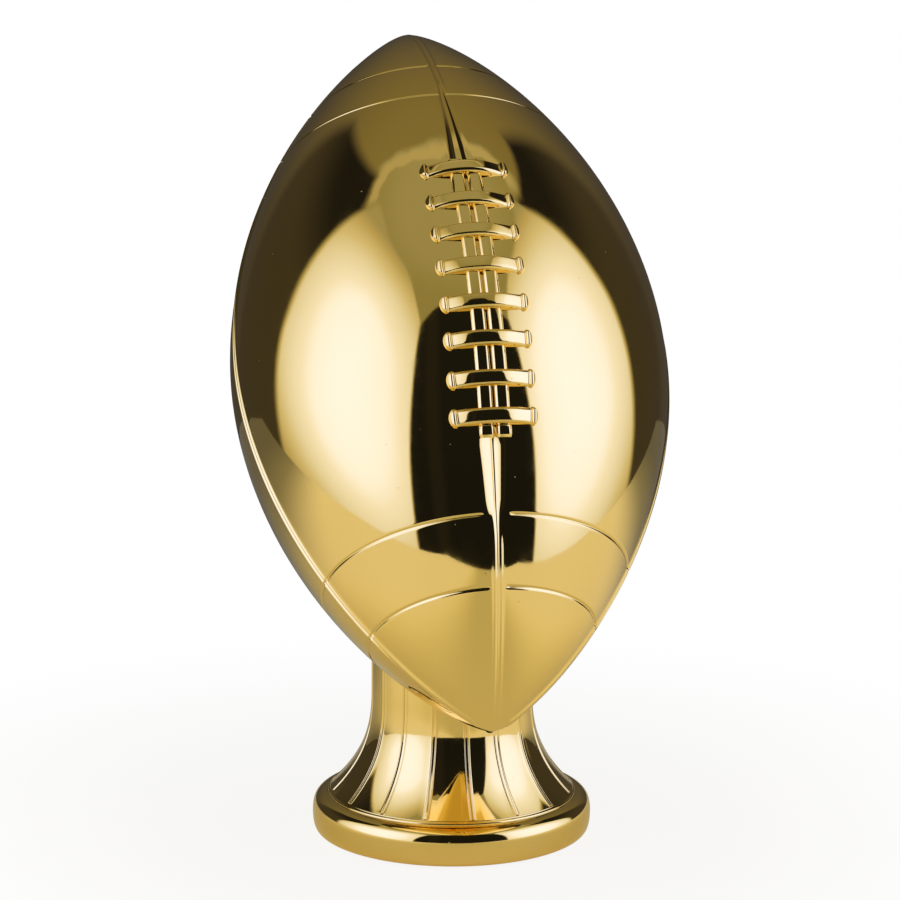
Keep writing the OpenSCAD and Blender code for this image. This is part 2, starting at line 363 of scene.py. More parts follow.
# Over these stations the side seams swell into one rib
TIP_RIB = [-128, -104]
# The stripes fade out over this reach of the front seam, in valley widths
LOWER_STRIPE_GAP = [1.05, 1.7]
UPPER_STRIPE_GAP = [0.5, 0.8]
# Offsets of the grid's columns across the front seam, in valley widths, and across another seam, in mm
VALLEY_COLUMNS = both_sides([
    0, 0.03, 0.06, 0.09, 0.13, 0.18, 0.25, 0.33, 0.41, 0.52, 0.65, 0.8, 0.93, 1.04, 1.15, 1.25, 1.35, 1.5,
])
SEAM_COLUMNS = both_sides([0, 0.12, 0.24, 0.36, 0.48, 0.62, 0.78, 0.94, 1.1, 1.28, 1.48, 1.7, 2.0, 2.4, 3.0])
PANEL_STEPS = 44
INNER_COLUMNS = 24
# Offsets of the grid's rows across a stripe, and the reach that they take from the even rows
STRIPE_ROWS = both_sides([0, 0.15, 0.3, 0.45, 0.6, 0.75, 0.95, 1.3])
STRIPE_REACH = 1.6
EVEN_ROWS = 181


def station_rows():
    """Stations of the grid's rows: even round the tips, and close together across each stripe."""
    even = HALF_LENGTH * np.sin(np.linspace(-math.pi / 2, math.pi / 2, EVEN_ROWS))[1:-1]
    keep = [s for s in even if min(abs(s - stripe) for stripe in STRIPES) > STRIPE_REACH]
    return np.sort(np.concatenate([keep] + [stripe + STRIPE_ROWS for stripe in STRIPES]))


def valley_depth(x, shape):
    """Height across the front seam, at a distance given in valley widths: both panels roll into it."""
    reach, tilt = shape
    fine = np.linspace(0, reach[-1], 400)
    slope = np.tan(np.radians(np.interp(fine, reach, tilt)))
    height = np.concatenate([[0], np.cumsum((slope[1:] + slope[:-1]) / 2 * np.diff(fine))])
    return np.interp(np.abs(x), fine, height - height[-1])


def welt_height(x):
    """Height across a stitched seam, in millimetres from it: a fine groove between two beads."""
    groove = -0.3 * np.exp(-(x / 0.4) ** 2)
    beads = 0.7 * np.exp(-((np.abs(x) - 1.15) / 0.75) ** 2)
    return groove + beads


def tip_rib(x):
    """Height across the thick rib that a side seam becomes at the lower tip."""
    return 0.9 * np.exp(-np.abs(x / 1.65) ** 3.4)


def ball_grid():
    """Angles and heights of the ball's grid: rows are stations, columns follow the seams round the ball.

    Also gives the columns of the right and the left side seam, where the two shells meet.
    """
    s = station_rows()
    radius = ball_radius(s)
    narrow = np.minimum(1, radius / np.where(s < 0, *SEAM_FULL_RADIUS))
    scale = np.interp(s, VALLEY_SCALE_STATIONS, VALLEY_SCALE)
    front_width = VALLEY_WIDTH * scale * narrow
    thick = 1 - smoothstep(s, *TIP_RIB)
    ribbed = 1 - smoothstep(s, *LOWER_RIBS) + smoothstep(s, *UPPER_RIBS)
    under_laces = smoothstep(s, LACING_BOTTOM - 1, LACING_BOTTOM + 5)
    under_laces = under_laces * (1 - smoothstep(s, LACING_TOP - 4, LACING_TOP))
    side_edge = SEAM_COLUMNS[-1] * narrow / radius
    front_edge = VALLEY_COLUMNS[-1] * front_width / radius
    angles, heights = [], []

    def front_height(x):
        rolled = np.where(s < 0, valley_depth(x, LOWER_VALLEY), valley_depth(x, UPPER_VALLEY)) * front_width
        ribs = welt_height(x * VALLEY_WIDTH * scale) * narrow * 0.5
        return (rolled * (1 - ribbed) + ribs * ribbed) * (1 - under_laces)

    def side_height(x):
        return (welt_height(x) * (1 - thick) + tip_rib(x) * thick) * narrow

    def add_seam(centre, offsets, width, height_at):
        for x in offsets:
            angles.append(centre + x * width / radius)
            heights.append(height_at(x))

    def add_panel(from_angle, to_angle):
        for k in range(1, PANEL_STEPS):
            angles.append(from_angle + (to_angle - from_angle) * k / PANEL_STEPS)
            heights.append(np.zeros_like(s))

    add_seam(0, VALLEY_COLUMNS, front_width, front_height)
    edge = front_edge
    for seam in (SIDE_SEAM, REAR_SEAM, 2 * math.pi - SIDE_SEAM):
        add_panel(edge, seam - side_edge)
        add_seam(seam, SEAM_COLUMNS, narrow, side_height)
        edge = seam + side_edge
    add_panel(edge, 2 * math.pi - front_edge)

    from_front = [np.abs(np.angle(np.exp(1j * a))) * radius / front_width for a in angles]
    for stripe in STRIPES:
        groove = -STRIPE_DEPTH * np.exp(-((s - stripe) / STRIPE_SPREAD) ** 2)
        gap = LOWER_STRIPE_GAP if stripe < 0 else UPPER_STRIPE_GAP
        heights = [h + groove * smoothstep(away, *gap) for h, away in zip(heights, from_front)]
    right_side = len(VALLEY_COLUMNS) + PANEL_STEPS - 1 + len(SEAM_COLUMNS) // 2
    left_side = right_side + 2 * (len(SEAM_COLUMNS) + PANEL_STEPS - 1)
    return s, np.array(angles).T, np.array(heights).T, right_side, left_side


def tangents(points, axis):
    """Tangents along a grid axis, true to second order on uneven spacing. The axis wraps."""
    after = np.roll(points, -1, axis) - points
    before = points - np.roll(points, 1, axis)
    a = np.linalg.norm(after, axis=-1, keepdims=True)
    b = np.linalg.norm(before, axis=-1, keepdims=True)
    return after * b / (a * (a + b)) + before * a / (b * (a + b))


def grid_normals(points, poles):
    """Unit normals of a grid that wraps round its columns and ends in two poles."""
    columns = points.shape[1]
    low = np.repeat(poles[0][None, None], columns, axis=1)
    high = np.repeat(poles[1][None, None], columns, axis=1)
    padded = np.concatenate([low, points, high], axis=0)
    up = tangents(padded, 0)[1:-1]
    across = tangents(points, 1)
    normal = np.cross(across, up)
    return normal / np.linalg.norm(normal, axis=-1, keepdims=True)


def build_shells():
    s, angles, heights, right_side, left_side = ball_grid()
    stations = np.repeat(s[:, None], angles.shape[1], axis=1)
    points = on_ball(stations, angles, heights)
    poles = [BALL_MIDDLE - HALF_LENGTH * ALONG, BALL_MIDDLE + HALF_LENGTH * ALONG]
    normals = grid_normals(points, poles)
    count = angles.shape[1]
    halves = {
        "front_shell": [j % count for j in range(left_side, count + right_side + 1)],
        "rear_shell": list(range(right_side, left_side + 1)),
    }
    for name, columns in halves.items():
        shell_piece(name, s, angles[:, columns], points[:, columns], normals[:, columns], poles)


def shell_piece(name, s, angles, points, normals, poles):
    """One half of the ball as a closed shell: the finished skin, a plain inner wall and the edge between."""
    rows, columns = angles.shape
    inner_columns = np.linspace(0, columns - 1, INNER_COLUMNS).astype(int)
    shrink = (HALF_LENGTH - TIP_WALL) / HALF_LENGTH
    inner_s = s * shrink
    inner_radius = ball_radius(inner_s, HALF_LENGTH * shrink, BALL_RADIUS - SHELL_WALL)
    turned = np.unwrap(angles, axis=1)[:, inner_columns]
    inner = (
        BALL_MIDDLE
        + inner_s[:, None, None] * ALONG
        + inner_radius[:, None, None] * from_axis(turned)
    )
    inner_poles = [BALL_MIDDLE + (p - BALL_MIDDLE) * shrink for p in poles]
    inner_start = rows * columns
    narrow = len(inner_columns)
    pole_start = inner_start + rows * narrow
    low, high, inner_low, inner_high = range(pole_start, pole_start + 4)

    faces = grid_faces(rows, columns)
    faces += [(low, j + 1, j) for j in range(columns - 1)]
    last = (rows - 1) * columns
    faces += [(last + j, last + j + 1, high) for j in range(columns - 1)]
    faces += [f[::-1] for f in grid_faces(rows, narrow, start=inner_start)]
    faces += [(inner_low, inner_start + j, inner_start + j + 1) for j in range(narrow - 1)]
    inner_last = inner_start + (rows - 1) * narrow
    faces += [(inner_last + j + 1, inner_last + j, inner_high) for j in range(narrow - 1)]
    for i in range(rows - 1):
        a, b = i * columns, (i + 1) * columns
        c, d = inner_start + i * narrow, inner_start + (i + 1) * narrow
        faces.append((a, b, d, c))
        faces.append((b + columns - 1, a + columns - 1, c + narrow - 1, d + narrow - 1))
    faces.append((low, 0, inner_start, inner_low))
    faces.append((columns - 1, low, inner_low, inner_start + narrow - 1))
    faces.append((last, high, inner_high, inner_last))
    faces.append((high, last + columns - 1, inner_last + narrow - 1, inner_high))

    every = np.concatenate([points.reshape(-1, 3), inner.reshape(-1, 3), poles, inner_poles])
    obj = make_object(name + "_skin", every, faces)
    skin_normals = np.zeros_like(every)
    skin_normals[:inner_start] = normals.reshape(-1, 3)
    skin_normals[low] = -ALONG
    skin_normals[high] = ALONG
    custom = [(0, 0, 0)] * len(obj.data.loops)
    for face in obj.data.polygons:
        if all(v < inner_start or v in (low, high) for v in face.vertices):
            for loop in face.loop_indices:
                custom[loop] = tuple(skin_normals[obj.data.loops[loop].vertex_index])
    obj.data.normals_split_custom_set(custom)
    finish_piece(obj, "gold_plate", GOLD, name)


# ---- the lacing ----

# The lacing sits a little to the right of the seam
LACING_SHIFT = 0.8
BAR_HALF_LENGTH = 16.75
BAR_HALF_WIDTH = 3.0
BAR_BEVEL = 1.0
BAR_UNDER = -0.3
BAR_LEAST_THICKNESS = 0.35
# How much a cross lace widens towards the ball
BAR_DRAFT = 0.3
# Height of a cross lace's top at distances from its middle: an arched strap, then a domed end
BAR_TOP = spline([
    (0, 3.15), (3, 3.05), (6, 2.72), (8, 2.35), (10, 1.85), (12, 1.25), (13.3, 0.85), (13.65, 0.95),
    (13.95, 1.5), (14.4, 1.95), (15.0, 1.95), (15.6, 1.55), (16.2, 0.95), (16.6, 0.4), (16.75, 0.1),
], 6)
# From the middle, the strap ends and the wider end begins, and from further out that end is rounded
BAR_END_HALF_WIDTH = 3.4
BAR_END_START = 13.5
BAR_END_STEP = 0.6
BAR_END_ROUNDING = 14.2
# Height of the middle of a cross lace's CAD solid over the skin
BAR_MIDDLE_HEIGHT = 1.8
# Spread of the random height of each half of a cross lace, as a share
BAR_UNEVENNESS = 0.03


def bar_section(half_width, low, high):
    """Cross section of a cross lace: a flat top with a bevel along each side."""
    bevel = min(BAR_BEVEL, 0.42 * half_width)
    drop = min(bevel, 0.55 * (high - low))
    draft = min(BAR_DRAFT, 0.3 * half_width)
    half = [
        (0.0, high + 0.04),
        (0.45 * (half_width - bevel), high + 0.03),
        (half_width - bevel - 0.2 * bevel, high),
        (half_width - bevel, high - 0.03),
        (half_width - bevel + 0.2 * bevel, high - 0.16 * drop),
        (half_width - 0.5 * bevel, high - 0.45 * drop),
        (half_width - 0.2 * bevel, high - 0.86 * drop),
        (half_width - 0.05 * bevel, high - 1.15 * drop),
        (half_width, high - 1.45 * drop),
        (half_width + 0.5 * draft, 0.5 * (low + high - 1.45 * drop)),
        (half_width + draft, low + 0.03),
    ]
    return closed_section(half, low)


def build_bar(i):
    node = f"lace_bar_{i}"
    lowest, highest = stations_of(node)
    middle = (lowest + highest) / 2
    s = middle - BAR_MIDDLE_HEIGHT * math.sin(normal_angle(middle))
    tilt = normal_angle(s)
    uneven = RNG.normal(0, BAR_UNEVENNESS, 2)
    distances = np.concatenate([np.linspace(0, 13, 20), np.linspace(13.3, BAR_HALF_LENGTH, 22)])
    rings = []
    for x in both_sides(distances):
        reach = abs(x)
        width = np.interp(
            reach, [BAR_END_START, BAR_END_START + BAR_END_STEP], [BAR_HALF_WIDTH, BAR_END_HALF_WIDTH]
        )
        if reach > BAR_END_ROUNDING:
            part = (reach - BAR_END_ROUNDING) / (BAR_HALF_LENGTH - BAR_END_ROUNDING)
            width = width * (1 - 0.97 * part ** 2.2) ** 0.5
        high = np.interp(reach, BAR_TOP[:, 0], BAR_TOP[:, 1]) * (1 + uneven[int(x > 0)])
        low = min(BAR_UNDER, high - BAR_LEAST_THICKNESS)
        angle = np.array((x + LACING_SHIFT) / ball_radius(s))
        base = on_ball(np.array(s), angle)
        aside = from_axis(angle)
        outward = math.cos(tilt) * aside + math.sin(tilt) * ALONG
        upward = -math.sin(tilt) * aside + math.cos(tilt) * ALONG
        rings.append([base + y * upward + h * outward for y, h in bar_section(width, low, high)])
    obj = loft(node + "_strap", rings)
    sharpen(obj, 50)
    finish_piece(obj, "gold_plate", GOLD, node)


STRAND_WIDTH = 5.45
STRAND_GAP = 0.75
STRAND_HEIGHT = 1.3
# The loose ends are this much wider, further from the seam and higher than the long laces
TAIL_EXTRA_WIDTH = 0.2
TAIL_OFFSET = 0.1
TAIL_EXTRA_HEIGHT = 0.3
TAIL_END_DROP = 0.5
# Each end of a strip sinks over the first length and narrows by a share over the second
STRIP_SINK_LENGTH = 1.2
STRIP_NARROW_LENGTH = 1.0
STRIP_NARROWING = 0.08


def strip_section(width, height, bevel=1.0):
    """Cross section of a long lace lying on the ball: a flat top with a bevel along each side."""
    half = [
        (0.0, height + 0.03),
        (width / 2 - bevel - 0.3, height + 0.02),
        (width / 2 - bevel, height - 0.03),
        (width / 2 - bevel + 0.2, height - 0.14),
        (width / 2 - 0.2, height * 0.5),
        (width / 2 - 0.05, height * 0.36),
        (width / 2, height * 0.2),
        (width / 2, -0.4),
    ]
    return closed_section(half, -0.45)


def build_strip(node, centre, width, s_low, s_high, height, end_drop):
    count = max(8, int(s_high - s_low))
    section = strip_section(width, height)
    rings = []
    for s in np.linspace(s_low, s_high, count):
        near_end = min(s - s_low, s_high - s)
        sink = end_drop * (1 - smoothstep(near_end, 0, STRIP_SINK_LENGTH))
        shrink = 1 - STRIP_NARROWING * (1 - smoothstep(near_end, 0, STRIP_NARROW_LENGTH))
        across = np.array([(centre + LACING_SHIFT + y * shrink) / ball_radius(s) for y, _ in section])
        up = np.array([h - sink if h > 0 else h for _, h in section])
        rings.append(on_ball(np.full(len(section), s), across, up))
    obj = loft(node + "_strip", rings)
    sharpen(obj, 60)
    finish_piece(obj, "gold_plate", GOLD, node)


def build_lacing():
    for i in range(1, 9):
        build_bar(i)
    middle = (STRAND_GAP + STRAND_WIDTH) / 2
    for name, side in (("left", -1), ("right", 1)):
        strand, tail = "lace_strand_" + name, "lace_tail_" + name
        build_strip(strand, side * middle, STRAND_WIDTH, *stations_of(strand), STRAND_HEIGHT, 0.0)
        build_strip(
            tail, side * (middle + TAIL_OFFSET), STRAND_WIDTH + TAIL_EXTRA_WIDTH, *stations_of(tail),
            STRAND_HEIGHT + TAIL_EXTRA_HEIGHT, TAIL_END_DROP,
        )


# ---- the pedestal ----

NECK_RADIUS = 30.5
FLARE_RADIUS = 46.0
FLARE_POWER = 2.6
FLARE_HEIGHT = 39.0
FLUTE_COUNT = 16
PEDESTAL_WALL = 3.5
# Offsets of the columns across a flute, in mm, and the number of steps across the panel beside it
FLUTE_COLUMNS = both_sides([0, 0.2, 0.4, 0.48, 0.56, 0.64, 0.72, 0.8, 0.88, 0.96, 1.06, 1.2, 1.4])
FLUTE_PANEL_STEPS = 7
# Rows over the flare's lower edge, where the flutes start
FLUTE_START_ROWS = [0.2, 0.4, 0.55, 0.7, 0.85, 1.0, 1.2, 1.5]
FLUTE_START = [0.15, 0.5]
NECK_ROWS = 24
# How far the neck reaches up into the ball
NECK_OVERLAP = 1.0


def flare_ends():
    """Heights at which the flare starts and has become the neck."""
    low, _ = box_mm("pedestal")
    return low[2], low[2] + FLARE_HEIGHT


FLARE_LOW, FLARE_HIGH = flare_ends()


def pedestal_radius(z):
    share = np.maximum(0, 1 - (z - FLARE_LOW) / (FLARE_HIGH - FLARE_LOW))
    return NECK_RADIUS + (FLARE_RADIUS - NECK_RADIUS) * share ** FLARE_POWER


def ball_underside(x, y):
    """Height at which a vertical line meets the underside of the ball."""
    z = np.linspace(FLARE_HIGH - 5, BALL_MIDDLE[2], 1500)
    offset = np.stack([np.full_like(z, x), np.full_like(z, y), z], -1) - BALL_MIDDLE
    along = offset @ ALONG
    out = np.linalg.norm(offset - along[:, None] * ALONG, axis=1)
    return z[np.argmax((out < ball_radius(along)) & (np.abs(along) < HALF_LENGTH))]


def flute_profile(x):
    """Depth across a flute: a shallow flat channel whose sides catch the light as two fine lines."""
    edge = smoothstep(np.abs(x), 0.42, 0.82)
    return -0.3 * (1 - edge) + 0.1 * np.exp(-((np.abs(x) - 0.95) / 0.2) ** 2)


def build_pedestal():
    pitch = 2 * math.pi / FLUTE_COUNT
    reach = FLUTE_COLUMNS[-1]
    z_flare = FLARE_LOW + (FLARE_HIGH - FLARE_LOW) * np.linspace(0, 1, 61) ** 1.25
    z_flare = np.sort(np.concatenate([z_flare, FLARE_LOW + np.array(FLUTE_START_ROWS)]))
    flare = pedestal_radius(z_flare)
    slope = np.gradient(flare, z_flare)
    length = np.sqrt(1 + slope ** 2)
    flute_in = smoothstep(z_flare, FLARE_LOW + FLUTE_START[0], FLARE_LOW + FLUTE_START[1])
    inner_r = NECK_RADIUS - PEDESTAL_WALL
    foot_r = FLARE_RADIUS - PEDESTAL_WALL
    columns = []

    def add_column(angle, neck_angle, depth):
        r = flare + depth * flute_in / length
        z = z_flare - depth * flute_in * slope / length
        top = ball_underside(NECK_RADIUS * math.cos(neck_angle), NECK_RADIUS * math.sin(neck_angle))
        z_neck = np.linspace(FLARE_HIGH, top + NECK_OVERLAP, NECK_ROWS + 1)[1:]
        inner = around_axis(
            [inner_r, inner_r, inner_r + 3, foot_r],
            [neck_angle, neck_angle, neck_angle, angle[0]],
            [z_neck[-1], FLARE_HIGH - 16, FLARE_LOW + 14, FLARE_LOW],
        )
        columns.append(np.vstack([
            around_axis(r, angle, z),
            around_axis(NECK_RADIUS + depth, neck_angle, z_neck),
            inner,
        ]))

    for k in range(FLUTE_COUNT):
        centre = k * pitch - math.pi / 2
        for x in FLUTE_COLUMNS:
            add_column(centre + x / flare, centre + x / NECK_RADIUS, flute_profile(x))
        for step in range(1, FLUTE_PANEL_STEPS):
            share = step / FLUTE_PANEL_STEPS
            angle, neck_angle = (
                centre + reach / r + (pitch - 2 * reach / r) * share for r in (flare, NECK_RADIUS)
            )
            add_column(angle, neck_angle, 0.0)
    points = np.array(columns).transpose(1, 0, 2)
    rows, count = points.shape[:2]
    faces = grid_faces(rows, count, wrap_rows=True, wrap_columns=True)
    obj = make_object("pedestal_body", points.reshape(-1, 3), faces)
    sharpen(obj, 50)
    finish_piece(obj, "gold_plate", GOLD, "pedestal")


# ---- the foot ----

FOOT_OUTLINE = [
    (49.4, 0.6), (50.4, 0.8), (51.4, 1.4), (52.1, 2.5), (52.55, 4.2), (52.75, 6.2), (52.8, 8.2),
    (52.68, 10.2), (52.3, 12.0), (51.6, 13.35), (50.5, 14.35), (49.2, 15.0), (48.1, 15.25),
]
FOOT_COLLAR = [
    (47.5, 15.35), (47.15, 15.45), (47.0, 15.6), (47.0, 15.8), (46.95, 16.15), (46.75, 16.4), (46.5, 16.5),
    (46.25, 16.7), (46.1, 16.95),
]
FOOT_INSIDE = [
    (38.5, 17.0), (38.5, 19.9), (35.5, 19.9), (35.5, 17.0), (3.4, 17.0), (3.4, 12.5), (43.4, 12.5),
    (43.4, 1.7), (46.3, 1.7), (46.3, 0.6),
]
FOOT_COLUMNS = 288


def build_foot():
    outline = np.vstack([spline(FOOT_OUTLINE, 5), FOOT_COLLAR, FOOT_INSIDE])
    angles = np.linspace(0, 2 * math.pi, FOOT_COLUMNS, endpoint=False)
    points = around_axis(outline[:, :1], angles, outline[:, 1:])
    faces = grid_faces(len(outline), len(angles), wrap_rows=True, wrap_columns=True)
    obj = make_object("foot_body", points.reshape(-1, 3), faces)
    sharpen(obj, 40)
    finish_piece(obj, "gold_plate", GOLD, "foot")


# ---- carried-over CAD nodes ----

def dress_cad_nodes():
    looks = {
        "felt_pad": felt_material(),
        "ballast": metal_material("cast_iron_look", (0.08, 0.08, 0.085), (0.2, 0.2, 0.21), 0.55, 420, 0.0002),
        "ball_insert": metal_material("brass_look", (0.55, 0.36, 0.12), (0.75, 0.52, 0.2), 0.3, 900, 0.00003),
    }
    zinc = metal_material("zinc_look", (0.5, 0.5, 0.52), (0.72, 0.72, 0.74), 0.3, 700, 0.00002)
    for node in ("tie_rod", "tie_washer", "lock_washer", "tie_nut"):
        looks[node] = zinc
    for node, material in looks.items():
        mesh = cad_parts[node].data
        mesh.materials.clear()
        mesh.materials.append(material)


# ---- studio ----

TABLE_X = 0.72
TABLE_FRONT = 1.6
TABLE_BACK = 0.55
TABLE_STEPS = 24


def build_table():
    """A pale table top. It glows a little in reflections as painted light, brighter under each softbox and
    fading towards the back, and its colour darkens towards the back as painted shade. The camera sees it fade
    to white.
    """
    x = np.linspace(-TABLE_X, TABLE_X, TABLE_STEPS)
    y = np.linspace(-TABLE_FRONT, TABLE_BACK, TABLE_STEPS)
    grid = np.array([[(a, b, 0.0) for a in x] for b in y]) / MM
    obj = make_object("table_top", grid.reshape(-1, 3), grid_faces(TABLE_STEPS, TABLE_STEPS))
    material, nodes, links, shader = new_material("table_look")
    n = Nodes(material.node_tree)
    coordinates = nodes.new("ShaderNodeTexCoord").outputs["Object"]
    x, y, _ = n.split(coordinates)
    mottle = n.math("MULTIPLY", noise(nodes, links, 60, 4), 0.06)
    # Painted shade: the table's colour darkens towards the back, with a faint real mottle on top
    painted_far_shade_and_mottle = n.math("ADD", n.math("MULTIPLY", n.step(y, 0.08, 0.4), 0.94), mottle)
    surface = mix_colour(nodes, links, painted_far_shade_and_mottle, (0.8, 0.72, 0.36), (0.3, 0.27, 0.15))
    links.new(surface, shader.inputs["Base Color"])
    shader.inputs["Roughness"].default_value = 0.8
    shader.inputs["Specular IOR Level"].default_value = 0.2
    # Painted light: the table glows as if lit, with a brighter pool under each softbox, fading towards the
    # back
    aside = n.math("ABSOLUTE", x)
    painted_pool_under_boxes = n.math("MULTIPLY", n.step(aside, 0.06, 0.24), 0.25)
    painted_glow_strength = n.math("MULTIPLY", n.math("ADD", painted_pool_under_boxes, 0.2), n.fall(y, 0.0, 0.24))
    painted_glow = nodes.new("ShaderNodeEmission")
    painted_glow_colour = mix_colour(nodes, links, n.step(aside, 0.08, 0.3), (1, 0.88, 0.5), (1, 0.95, 1.0))
    links.new(painted_glow_colour, painted_glow.inputs["Color"])
    links.new(painted_glow_strength, painted_glow.inputs["Strength"])
    lit = nodes.new("ShaderNodeAddShader")
    links.new(shader.outputs["BSDF"], lit.inputs[0])
    links.new(painted_glow.outputs["Emission"], lit.inputs[1])

    distance = nodes.new("ShaderNodeVectorMath")
    distance.operation = "LENGTH"
    links.new(coordinates, distance.inputs[0])
    fade = map_range(nodes, links, distance.outputs["Value"], 0.06, 0.3, 0.86, 1.0, True)
    glow = nodes.new("ShaderNodeEmission")
    glow.inputs["Color"].default_value = (1, 1, 1, 1)
    glow.inputs["Strength"].default_value = 1.0
    seen = n.math("MULTIPLY", nodes.new("ShaderNodeLightPath").outputs["Is Camera Ray"], fade)
    mix = nodes.new("ShaderNodeMixShader")
    links.new(seen, mix.inputs["Fac"])
    links.new(lit.outputs[0], mix.inputs[1])
    links.new(glow.outputs["Emission"], mix.inputs[2])
    links.new(mix.outputs["Shader"], nodes["Material Output"].inputs["Surface"])
    obj.data.materials.append(material)


# Softboxes by direction in degrees: azimuth from the front, positive towards +X, and height over the
# horizon. A slant is how far a side shifts per degree below SLANT_FROM.
SOFTBOXES = [
    {"middle": -73, "left": -116, "right": -34.5, "blur_left": 2.5, "blur_right": 1.0,
     "slant_left": -0.03, "slant_right": -0.14, "top": 64.5, "corner": -85},
    {"middle": 66, "left": 35, "right": 106, "blur_left": 1.0, "blur_right": 2.5,
     "slant_left": 0.03, "slant_right": 0, "top": 61.5, "corner": 83},
]
SLANT_FROM = 50.0
BOX_BOTTOM = [-16, -13]
BOX_TOP_BLUR = 0.9
# The top edge drops by CORNER_DROP at CORNER_REACH from the softbox's corner direction
CORNER_REACH = 50.0
CORNER_DROP = 14.0
# A softbox is brightest at its heart and fades across and upwards
BOX_LEVEL = 1.15
BOX_LEAST_LEVEL = 0.37
BOX_HEART = 21.0
BOX_HEART_WIDTH = 20.0
BOX_HEART_HEIGHT = 33.0
BOX_FADE_ACROSS = 0.08
BOX_FADE_UPWARD = 0.32
# The ceiling's near edge is an arch between the softboxes
ARCH_HALF_WIDTH = 34.5
ARCH_TOP = 59.0
ARCH_RISE = 10.0
# Radiance of the studio by its level: dim parts are neutral and the softboxes' hearts are cool white
FULL_LEVEL = 1.2
PEAK_RADIANCE = 3.9
RADIANCE = [
    (0.0, (0, 0, 0)), (0.0103, (0.0103, 0.0108, 0.0145)), (0.028, (0.028, 0.026, 0.028)),
    (0.05, (0.05, 0.045, 0.042)), (0.094, (0.094, 0.085, 0.07)), (0.165, (0.165, 0.147, 0.097)),
    (0.214, (0.214, 0.19, 0.11)), (0.295, (0.295, 0.29, 0.2)), (0.36, (0.36, 0.355, 0.3)),
    (0.51, (0.51, 0.47, 0.36)), (0.7, (0.7, 0.7, 0.76)), (0.85, (0.85, 0.93, 1.5)), (0.98, (0.98, 1.1, 2.1)),
    (1.06, (1.08, 1.3, 3.1)), (FULL_LEVEL, (1.16, 1.42, 3.8)),
]


def room_level(n, azimuth, height, ragged):
    """Level of the room without its lights: dark in the middle, dim behind, and a pale ceiling."""
    turn = n.math("ABSOLUTE", azimuth)
    middle_dark = n.mix(n.fall(height, 0, 40), 0.0115, 0.0095)
    streak = n.math("MULTIPLY", n.step(azimuth, -31, -27), n.fall(azimuth, -24, -18))
    middle_dark = n.math("ADD", middle_dark, n.math("MULTIPLY", streak, 0.006))
    side_dark = n.mix(n.step(height, 20, 46), 0.05, 0.013)
    back = n.mix(n.step(height, -5, 62), 0.062, 0.225)
    over_right = n.math("MULTIPLY", n.math("MAXIMUM", n.math("SUBTRACT", height, 46.0), 0.0), 2.6)
    over_left = n.math("MULTIPLY", n.math("MAXIMUM", n.math("SUBTRACT", height, 37.0), 0.0), 1.0)
    back_right = n.step(n.math("ADD", azimuth, over_right), 135, 144)
    back_left = n.fall(n.math("SUBTRACT", azimuth, over_left), -161, -153)
    wall = n.mix(n.step(turn, 60, 80), middle_dark, side_dark)
    wall = n.mix(n.math("MAXIMUM", back_right, back_left), wall, back)

    # The ceiling's far edge is ragged, with a pale strip along it
    inside_arch = n.math("DIVIDE", n.math("MINIMUM", turn, ARCH_HALF_WIDTH), ARCH_HALF_WIDTH)
    arch = n.math("POWER", inside_arch, 3.0)
    near_edge = n.math("SUBTRACT", ARCH_TOP, n.math("MULTIPLY", arch, ARCH_RISE))
    far_edge = n.math("ADD", 60.5, n.math("MULTIPLY", n.step(turn, 116, 176), 11.0))
    far_edge = n.math("ADD", far_edge, ragged)
    edge = n.mix(n.step(turn, 100, 110), near_edge, far_edge)
    over_edge = n.math("SUBTRACT", height, edge)
    ceiling = n.mix(n.step(height, 58, 74), 0.285, 0.345)
    strip = n.math("MULTIPLY", n.step(over_edge, -6.5, -2.5), n.step(turn, 108, 122))
    wall = n.mix(strip, wall, 0.46)
    return n.mix(n.step(over_edge, -0.5, 0.5), wall, ceiling)


def softbox(n, azimuth, height, box):
    """Mask and level of a softbox: slanted sides, a rounded top and a bright heart."""
    def beside(slant):
        shift = n.math("MULTIPLY", n.math("SUBTRACT", SLANT_FROM, height), slant)
        return n.math("SUBTRACT", azimuth, shift)

    def away(value, centre, unit, power):
        distance = n.math("DIVIDE", n.math("SUBTRACT", value, centre), unit)
        return n.math("POWER", n.math("ABSOLUTE", distance), power)

    left, right = box["left"], box["right"]
    from_left = n.step(beside(box["slant_left"]), left - box["blur_left"], left + box["blur_left"])
    from_right = n.fall(beside(box["slant_right"]), right - box["blur_right"], right + box["blur_right"])
    rounding = n.math("MULTIPLY", away(azimuth, box["corner"], CORNER_REACH, 4.0), CORNER_DROP)
    under_top = n.fall(n.math("ADD", height, rounding), box["top"] - BOX_TOP_BLUR, box["top"] + BOX_TOP_BLUR)
    mask = n.math("MULTIPLY", n.math("MULTIPLY", from_left, from_right),
                  n.math("MULTIPLY", n.step(height, *BOX_BOTTOM), under_top))
    across = n.math("MULTIPLY", away(azimuth, box["middle"], BOX_HEART_WIDTH, 2.0), BOX_FADE_ACROSS)
    upward = n.math("MULTIPLY", away(height, BOX_HEART, BOX_HEART_HEIGHT, 3.2), BOX_FADE_UPWARD)
    fading = n.math("ADD", across, upward)
    return mask, n.math("MAXIMUM", n.math("SUBTRACT", BOX_LEVEL, fading), BOX_LEAST_LEVEL)


